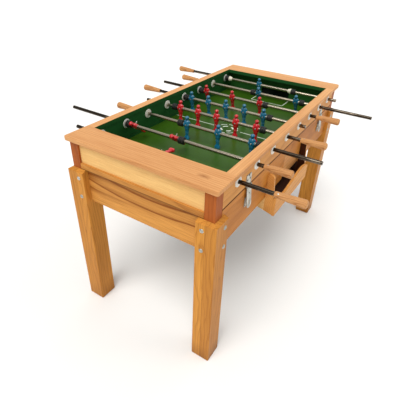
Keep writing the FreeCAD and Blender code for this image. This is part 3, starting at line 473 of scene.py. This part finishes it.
dark_steel = metal("dark_steel", (0.20, 0.19, 0.16), (0.08, 0.07, 0.055), (300.0, 300.0, 300.0), 0.35, 0.6, 0.5)
brass = metal("brass_screw", (0.60, 0.42, 0.16), (0.26, 0.16, 0.06), (300.0, 300.0, 300.0), 0.25, 0.45, 0.4)
black_rubber = rubber("black_rubber")
pitch_white = line_paint("pitch_white")

NODE_MATERIALS = {
    "legs_": leg_wood, "leg_bolts": zinc_steel, "rim_boards": rim_wood, "corner_posts": post_wood,
    "end_aprons": apron_wood, "end_panels": panel_wood, "end_rails": rail_end_wood, "side_board_": side_wood,
    "rod_rail_": rod_rail_wood, "rod_bushings": white_plastic, "tray_": tray_wood, "tray_floor": tray_ply,
    "chute_access_panel": panel_ply, "ball_runway": shaded_runway_ply, "playfield": green_field, "goal_walls": green_wall,
    "hasp_": zinc_steel, "rear_hinge_": zinc_steel,
}
ROD_MATERIALS = {"shaft": rod_steel, "bumpers": black_rubber, "handle": handle_wood, "cones": cream_plastic}


def material_of(node):
    """The material of a CAD node: by its part of a rod, or else by the longest matching start of its name."""
    kind = node.rsplit("_", 1)[-1]
    if node[:4] == "rod_" and node[4].isdigit():
        if kind == "men":
            return red_plastic if int(node[4]) in RED_RODS else blue_plastic
        return ROD_MATERIALS[kind]
    return NODE_MATERIALS[max((start for start in NODE_MATERIALS if node.startswith(start)), key=len)]


for node_name, node_object in frame["nodes"].items():
    for material_slot in node_object.material_slots:
        material_slot.material = material_of(node_name)


# ---------------------------------------------------------------- mesh helpers
def piece(name, mesh, material, body):
    """A smooth-shaded object from a bmesh, riding on a CAD body."""
    bmesh.ops.recalc_face_normals(mesh, faces=mesh.faces)
    data = bpy.data.meshes.new(name)
    mesh.to_mesh(data)
    mesh.free()
    data.shade_smooth()
    data.set_sharp_from_angle(angle=math.radians(38))
    data.materials.append(material)
    made = bpy.data.objects.new(name, data)
    bpy.context.scene.collection.objects.link(made)
    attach(made, body)
    return made


def add_loft(mesh, rings):
    """Closed rings of points joined by quads, with a fan over each end."""
    rows = [[mesh.verts.new(point) for point in ring] for ring in rings]
    for low, high in zip(rows, rows[1:]):
        for k in range(len(low)):
            mesh.faces.new((low[k - 1], low[k], high[k], high[k - 1]))
    for row in (rows[0], rows[-1]):
        middle = mesh.verts.new(sum((vert.co for vert in row), Vector()) / len(row))
        for k in range(len(row)):
            mesh.faces.new((row[k - 1], row[k], middle))


def turn_to(axis):
    """The rotation that takes Z to an axis."""
    return Vector(axis).to_track_quat("Z", "Y").to_matrix().to_4x4()


def add_turned(mesh, profile, place, segments=28):
    """A lathe shape: (height, radius) points about Z, then put in place by a matrix."""
    rings = []
    for height, radius in profile:
        angles = [2 * math.pi * k / segments for k in range(segments)]
        rings.append([place @ Vector((radius * math.cos(a), radius * math.sin(a), height)) for a in angles])
    add_loft(mesh, rings)


def add_screw(mesh, at, axis, radius, height, spin=0.0):
    """A pan-head cross screw that stands on a face at a point, its axis pointing out of the face."""
    place = Matrix.Translation(at) @ turn_to(axis) @ Matrix.Rotation(spin, 4, "Z")
    segments, rings = 24, []
    for out in (1.0, 1.0, 0.93, 0.75, 0.55, 0.42, 0.30, 0.18, 0.08):
        ring = []
        for k in range(segments):
            a = 2 * math.pi * k / segments
            u, v = out * radius * math.cos(a), out * radius * math.sin(a)
            rise = height * math.sqrt(max(0.0, 1 - 0.75 * out * out)) if rings else 0.0
            if out < 0.6 and min(abs(u), abs(v)) < 0.14 * radius:
                rise -= 0.35 * height
            ring.append(place @ Vector((u, v, rise)))
        rings.append(ring)
    add_loft(mesh, rings)


# ---------------------------------------------------------------- players
RING_POINTS = 40
# Player outline from sole to crown, in millimetres from the rod's axis: height, body half depth and half width,
# squareness, then each arm's centre, half depth and half width (0 where there is no arm).
PLAYER = [
    (-71.0, 7.6, 11.6, 4.0, 0, 0, 0), (-70.4, 8.4, 12.3, 4.0, 0, 0, 0), (-66.0, 8.5, 12.5, 3.6, 0, 0, 0),
    (-61.0, 8.2, 11.8, 3.2, 0, 0, 0), (-57.0, 7.0, 9.8, 2.8, 0, 0, 0), (-54.0, 6.2, 8.2, 2.4, 0, 0, 0),
    (-50.0, 5.8, 7.4, 2.2, 0, 0, 0), (-44.0, 6.4, 8.0, 2.2, 0, 0, 0), (-38.0, 7.4, 9.0, 2.2, 0, 0, 0),
    (-34.5, 7.7, 9.3, 2.2, 0, 0, 0), (-34.0, 7.1, 8.8, 2.2, 0, 0, 0), (-28.0, 7.3, 9.4, 2.2, 0, 0, 0),
    (-24.0, 7.9, 10.0, 2.2, 0, 0, 0), (-19.5, 8.4, 10.8, 2.3, 0, 0, 0), (-19.0, 9.6, 11.8, 2.4, 0, 0, 0),
    (-13.0, 10.2, 12.2, 2.4, 13.0, 2.6, 2.0), (-10.0, 10.5, 12.3, 2.3, 13.2, 3.9, 3.2),
    (-5.0, 10.8, 12.2, 2.3, 13.2, 4.1, 3.4), (0.0, 11.2, 12.2, 2.3, 13.0, 4.3, 3.5),
    (5.0, 11.6, 12.4, 2.3, 12.8, 4.6, 3.6), (10.0, 11.2, 12.6, 2.3, 12.4, 4.9, 3.9),
    (14.0, 10.0, 12.4, 2.3, 11.8, 4.9, 4.1), (17.0, 8.6, 11.6, 2.2, 10.6, 4.4, 4.0),
    (19.5, 7.2, 9.8, 2.1, 8.6, 3.8, 3.4), (21.0, 6.0, 7.4, 2.0, 0, 0, 0), (22.2, 5.6, 6.0, 2.0, 0, 0, 0),
    (23.4, 6.4, 6.2, 2.0, 0, 0, 0), (25.0, 7.8, 7.2, 2.0, 0, 0, 0), (28.0, 9.0, 8.4, 2.0, 0, 0, 0),
    (31.0, 9.4, 8.9, 2.0, 0, 0, 0), (34.0, 9.2, 8.8, 2.0, 0, 0, 0), (34.4, 9.5, 9.2, 2.0, 0, 0, 0),
    (37.0, 8.3, 8.0, 2.0, 0, 0, 0), (39.2, 5.8, 5.6, 2.0, 0, 0, 0), (40.2, 3.0, 2.9, 2.0, 0, 0, 0),
]
BOSS_RADIUS, BOSS_HALF = 10.6, 14.6
BOLT_RADIUS, BOLT_TIP, BOLT_HEAD = 2.0, 23.0, 3.6


def reach(angle, section):
    """How far a player's outline is from his middle at an angle: the furthest of body and arms."""
    depth, width, square, arm, arm_depth, arm_width = section[1:]
    c, s = math.cos(angle), math.sin(angle)
    far = (abs(c / depth) ** square + abs(s / width) ** square) ** (-1 / square)
    if arm:
        # The ray meets the oval (x / depth)^2 + ((y - arm) / width)^2 = 1.
        a = (c / arm_depth) ** 2 + (s / arm_width) ** 2
        b = -2 * abs(s) * arm / arm_width ** 2
        rest = b * b - 4 * a * ((arm / arm_width) ** 2 - 1)
        if rest > 0:
            far = max(far, (-b + math.sqrt(rest)) / (2 * a))
    return far


def player_rings():
    rings = []
    for section in PLAYER:
        ring = []
        for k in range(RING_POINTS):
            angle = 2 * math.pi * k / RING_POINTS
            far = reach(angle, section)
            height = section[0]
            x, y = far * math.cos(angle), far * math.sin(angle)
            facing = max(0.0, math.cos(angle))
            if 25 <= height <= 33 and abs(y) < 2.2:
                x += 1.0 * facing * (1 - abs(height - 29.0) / 5)
            if -52 < height < -19.2:
                x *= 1 - 0.22 * math.exp(-(y / 2.2) ** 2)
            ring.append((x, y, height))
        rings.append(ring)
    return rings


PLAYER_RINGS = player_rings()


def add_player(mesh, place):
    """A one-piece player: feet, legs, shorts, arms at his sides, a head, and a boss round the rod."""
    add_loft(mesh, [[place @ Vector(point) for point in ring] for ring in PLAYER_RINGS])
    edge = 1.2
    profile = [(-BOSS_HALF, BOSS_RADIUS - edge), (-BOSS_HALF + edge, BOSS_RADIUS), (BOSS_HALF - edge, BOSS_RADIUS),
               (BOSS_HALF, BOSS_RADIUS - edge)]
    add_turned(mesh, profile, place @ turn_to((0, 1, 0)), 40)


def add_player_bolt(mesh, place):
    """The bolt through a player's chest and the rod: a cross head at his back and a nut in front."""
    chest = 11.4
    add_turned(mesh, [(chest - 2, BOLT_RADIUS), (BOLT_TIP - 0.6, BOLT_RADIUS), (BOLT_TIP, BOLT_RADIUS - 0.6)],
               place @ turn_to((1, 0, 0)), 16)
    add_turned(mesh, [(chest - 1, 3.6), (chest + 2.6, 3.6), (chest + 3.0, 3.1)], place @ turn_to((1, 0, 0)), 6)
    head = bmesh.new()
    add_screw(head, Vector((-chest + 0.4, 0, 0)), (-1, 0, 0), BOLT_HEAD, 2.4, 0.6)
    bmesh.ops.transform(head, matrix=place, verts=head.verts)
    borrowed = bpy.data.meshes.new("bolt_head")
    head.to_mesh(borrowed)
    head.free()
    mesh.from_mesh(borrowed)
    bpy.data.meshes.remove(borrowed)


def rod_middle(number):
    """Where a rod's middle is along Y: halfway between its outer players."""
    low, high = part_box("rod_%d_men" % number)
    return (low.y + high.y) / 2


def players():
    for number, count in enumerate(MEN_ON_ROD, start=1):
        body = "rod_%d" % number
        red = number in RED_RODS
        middle = rod_middle(number)
        men, bolts = bmesh.new(), bmesh.new()
        for k in range(count):
            y = middle + (k - (count - 1) / 2) * MAN_PITCH[count]
            at = Matrix.Translation((ROD_X[number - 1], y, ROD_Z)) @ Matrix.Scale(MM, 4)
            lean = at @ Matrix.Rotation(-math.radians(LEAN[number]), 4, "Y")
            add_player(men, lean if red else lean @ Matrix.Rotation(math.pi, 4, "Z"))
            add_player_bolt(bolts, lean)
        shown = piece("players_%d" % number, men, red_plastic if red else blue_plastic, body)
        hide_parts("rod_%d_men" % number)
        piece("player_bolts_%d" % number, bolts, zinc_steel, body)


# ---------------------------------------------------------------- pitch markings
LINE_WIDE, LINE_THICK = 4.5 * MM, 0.25 * MM
CIRCLE_RADIUS = 54 * MM
CENTRE_LINE_X = 4 * MM
BOX_LINE_X, BOX_HALF_Y = 489 * MM, 100 * MM


def add_strip(mesh, points, wide):
    """A thin painted strip along a flat path, its ends cut square."""
    path = [Vector(point) for point in points]
    rings = []
    for k, point in enumerate(path):
        ahead = (path[min(k + 1, len(path) - 1)] - path[max(k - 1, 0)]).normalized()
        across = Vector((-ahead.y, ahead.x, 0)) * wide / 2
        lift = Vector((0, 0, LINE_THICK))
        rings.append([point - across, point + across, point + across + lift, point - across + lift])
    rows = [[mesh.verts.new(corner) for corner in ring] for ring in rings]
    for low, high in zip(rows, rows[1:]):
        for k in range(4):
            mesh.faces.new((low[k - 1], low[k], high[k], high[k - 1]))
    mesh.faces.new(rows[0])
    mesh.faces.new(rows[-1])


def arc(centre, radius, start, end, steps):
    """Points of a level arc on the field, from one angle to another in degrees."""
    angles = [math.radians(start + (end - start) * k / steps) for k in range(steps + 1)]
    return [(centre + radius * math.cos(a), radius * math.sin(a), FIELD_TOP) for a in angles]


def pitch_markings():
    mesh = bmesh.new()
    edge_y = RAIL_INNER_Y - 4 * MM
    for side in (-1, 1):
        start, end = side * (CIRCLE_RADIUS + 22 * MM), side * edge_y
        add_strip(mesh, [(CENTRE_LINE_X, start, FIELD_TOP), (CENTRE_LINE_X, end, FIELD_TOP)], LINE_WIDE)
    for k in range(8):
        add_strip(mesh, arc(CENTRE_LINE_X, CIRCLE_RADIUS, 45 * k - 17, 45 * k + 17, 8), LINE_WIDE)
    for k in range(4):
        add_strip(mesh, arc(CENTRE_LINE_X, CIRCLE_RADIUS * 0.55, 90 * k + 20, 90 * k + 70, 8), 2 * LINE_WIDE)
    for end in (-1, 1):
        x = end * BOX_LINE_X
        wall = end * (field_high.x - 1 * MM)
        add_strip(mesh, [(x, -BOX_HALF_Y, FIELD_TOP), (x, BOX_HALF_Y, FIELD_TOP)], LINE_WIDE)
        for side in (-1, 1):
            y = side * BOX_HALF_Y
            start = x + end * LINE_WIDE / 2
            add_strip(mesh, [(start, y, FIELD_TOP), (wall, y, FIELD_TOP)], LINE_WIDE)
    return piece("pitch_markings", mesh, pitch_white, "base")


# ---------------------------------------------------------------- screws
PINS = {joint["name"]: Vector(joint["pos_m"]) for joint in frame["joints"] if "pos_m" in joint}
HASPS = ("near", "far")
PLATE, STAPLE_PLATE, STRAP_FACE, STRAP_LEAN = 2 * MM, 1.4 * MM, 2.4 * MM, math.radians(5.2)
HINGE_X = 306 * MM


def hasp_screws():
    """Three cross screws in each hasp's fixed leaf."""
    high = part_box("hasp_leaves")[1]
    mesh = bmesh.new()
    for end in HASPS:
        x = PINS["hasp_%s_swing" % end].x
        for dx, drop in ((-12, 22), (12, 22), (0, 5)):
            at = Vector((x + dx * MM, high.y - PLATE, high.z - drop * MM))
            add_screw(mesh, at, (0, -1, 0), 4.0 * MM, 1.5 * MM, dx * 0.1)
    return piece("hasp_screws", mesh, dark_steel, "top_box")


def strap_rivets():
    """One domed rivet in each hasp's strap, a little under its pin."""
    out = Vector((0, -math.cos(STRAP_LEAN), math.sin(STRAP_LEAN)))
    down = Vector((0, -math.sin(STRAP_LEAN), -math.cos(STRAP_LEAN)))
    for end in HASPS:
        mesh = bmesh.new()
        at = PINS["hasp_%s_swing" % end] + out * STRAP_FACE + down * 31 * MM
        add_turned(mesh, [(-0.3 * MM, 3.4 * MM), (0.4 * MM, 3.4 * MM), (1.0 * MM, 2.3 * MM), (1.3 * MM, 0.9 * MM)],
                   Matrix.Translation(at) @ turn_to(out))
        piece("strap_rivet_" + end, mesh, dark_steel, "hasp_" + end)


def staple_screws():
    """Two small screws above and below each staple's loop."""
    low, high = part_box("hasp_staples")
    mesh = bmesh.new()
    for end in HASPS:
        for z in (low.z + 5.5 * MM, high.z - 5.5 * MM):
            for dx in (-8 * MM, 8 * MM):
                at = Vector((PINS["hasp_%s_swing" % end].x + dx, high.y - STAPLE_PLATE, z))
                add_screw(mesh, at, (0, -1, 0), 2.4 * MM, 1.0 * MM, 0.5)
    return piece("staple_screws", mesh, dark_steel, "base")


def hinge_screws(name, node, body, rise):
    """Three screws in each leaf of the rear hinges, above the pin or below it."""
    mesh = bmesh.new()
    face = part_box(node)[0].y + PLATE
    for side in (-1, 1):
        for dx in (-22 * MM, 0.0, 22 * MM):
            at = Vector((side * HINGE_X + dx, face, PINS["top_box_tilt"].z + rise))
            add_screw(mesh, at, (0, 1, 0), 3.8 * MM, 1.4 * MM, 0.4 + dx * 9)
    return piece(name, mesh, zinc_steel, body)


# How far a handle's screw is from its inner end, and the neck's radius there.
NECK_SCREW, NECK_RADIUS = 14 * MM, 10.9 * MM


def handle_screws():
    """One countersunk screw across each handle's neck."""
    for number in range(1, 9):
        low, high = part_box("rod_%d_handle" % number)
        neck = low.y + NECK_SCREW if low.y > 0 else high.y - NECK_SCREW
        mesh = bmesh.new()
        at = Vector((ROD_X[number - 1], neck, ROD_Z))
        up = Matrix.Rotation(-math.radians(LEAN[number] % 45), 4, "Y") @ Z_UP
        add_screw(mesh, at + up * NECK_RADIUS, up, 2.9 * MM, 0.9 * MM, 0.2)
        piece("handle_screw_%d" % number, mesh, zinc_steel, "rod_%d" % number)


def panel_screws():
    """The brass screws that hold the access panel, one at each corner."""
    low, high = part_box("chute_access_panel")
    mesh = bmesh.new()
    inset = 16 * MM
    for x in (low.x + inset, high.x - inset):
        for z in (low.z + inset, high.z - inset):
            add_screw(mesh, Vector((x, low.y, z)), (0, -1, 0), 4.6 * MM, 1.3 * MM, 0.7 + x * 3)
    return piece("panel_screws", mesh, brass, "base")


# ---------------------------------------------------------------- stage
def flat_material(name, colour, rough):
    s = Surface(name, {})
    grain = s.noise(s.place, 2.0, 2.0)
    return s.finish(s.mix(s.math("MULTIPLY", grain, 0.03), colour, [0.9 * c for c in colour]), rough)


def floor():
    mesh = bmesh.new()
    bmesh.ops.create_grid(mesh, x_segments=2, y_segments=2, size=30)
    data = bpy.data.meshes.new("floor")
    mesh.to_mesh(data)
    mesh.free()
    data.materials.append(flat_material("floor_paint", (0.90, 0.90, 0.89), 0.75))
    made = bpy.data.objects.new("floor", data)
    bpy.context.scene.collection.objects.link(made)


def lights():
    """A wide soft sun high over the near end, a fainter one from the front, and a sky brightest past the far end."""
    suns = (("key", (0.56, 0.05, -1.0), 40, 2.4), ("front", (-0.5, 1.0, -0.9), 25, 0.32))
    for name, towards, angle, strength in suns:
        data = bpy.data.lights.new(name, "SUN")
        data.energy, data.angle, data.color = strength, math.radians(angle), (1.0, 0.98, 0.95)
        made = bpy.data.objects.new(name, data)
        made.rotation_mode = "QUATERNION"
        made.rotation_quaternion = Vector(towards).to_track_quat("-Z", "Y")
        bpy.context.scene.collection.objects.link(made)
    world = bpy.data.worlds.new("studio")
    world.use_nodes = True
    tree = world.node_tree
    direction = tree.nodes.new("ShaderNodeTexCoord").outputs["Generated"]
    toward = tree.nodes.new("ShaderNodeVectorMath")
    toward.operation = "DOT_PRODUCT"
    toward.inputs[1].default_value = Vector((0.94, 0.10, 0.32)).normalized()
    ramp = tree.nodes.new("ShaderNodeValToRGB")
    for mark, (at, grey) in zip(ramp.color_ramp.elements, ((0.0, 0.52), (0.85, 1.0))):
        mark.position, mark.color = at, (grey, grey, grey, 1)
    tree.links.new(direction, toward.inputs[0])
    tree.links.new(toward.outputs["Value"], ramp.inputs[0])
    tree.links.new(ramp.outputs[0], tree.nodes["Background"].inputs["Color"])
    tree.nodes["Background"].inputs["Strength"].default_value = 0.8
    bpy.context.scene.world = world


def camera():
    """A 32 mm lens at the near front corner, above the table, looking down and a little rolled."""
    heading, down, roll = math.radians(30.895), math.radians(32.94), math.radians(2.36)
    data = bpy.data.cameras.new("camera")
    data.sensor_width, data.lens = 36, 31.77
    data.shift_x, data.shift_y = 0.01014, -0.04382
    made = bpy.data.objects.new("camera", data)
    made.location = (-1.5326, -0.7977, 1.5008)
    look = Vector((math.cos(down) * math.cos(heading), math.cos(down) * math.sin(heading), -math.sin(down)))
    made.rotation_mode = "QUATERNION"
    made.rotation_quaternion = look.to_track_quat("-Z", "Y") @ Quaternion((0, 0, 1), roll)
    bpy.context.scene.collection.objects.link(made)
    bpy.context.scene.camera = made


camera()
floor()
lights()
players()
pitch_markings()
hasp_screws()
staple_screws()
strap_rivets()
hinge_screws("upper_hinge_screws", "rear_hinge_upper_leaves", "top_box", 20 * MM)
hinge_screws("lower_hinge_screws", "rear_hinge_lower_leaves", "base", -20 * MM)
handle_screws()
panel_screws()
bpy.context.scene.view_settings.view_transform = "Standard"
